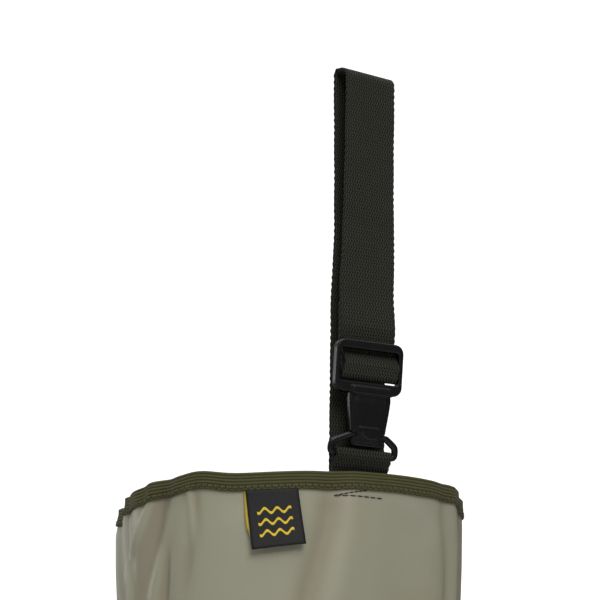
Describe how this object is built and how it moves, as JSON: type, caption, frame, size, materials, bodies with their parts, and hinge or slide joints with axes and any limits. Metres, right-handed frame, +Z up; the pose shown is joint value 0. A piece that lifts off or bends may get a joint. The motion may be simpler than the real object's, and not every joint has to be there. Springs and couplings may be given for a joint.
{
  "type": "hip wader",
  "caption": "Left hip wader: moulded boot with lugged sole, long fabric leg, bound oval rim and an upright webbing belt loop with adjuster and snap hook.",
  "frame": {"origin": "on the floor at the middle of the heel's flat underside", "axes": "+X towards the toe, +Y towards the wader's outer side, +Z up"},
  "size_m": [0.3434, 0.2011, 1.1023],
  "materials": {
    "sole_rubber": "matte",
    "boot_pvc": "satin",
    "insole_felt": "matte",
    "coated_fabric": "satin",
    "binding_tape": "matte",
    "label_weave": "matte",
    "webbing": "matte",
    "black_plastic": "satin"
  },
  "bodies": {
    "root": {"outsole": "sole_rubber", "boot": "boot_pvc", "insole": "insole_felt", "leg": "coated_fabric", "collar_binding": "binding_tape", "label": "label_weave", "strap": "webbing", "anchor_loop": "webbing", "hook_ring": "black_plastic", "snap_adjuster": "black_plastic"}
  },
  "joints": []
}
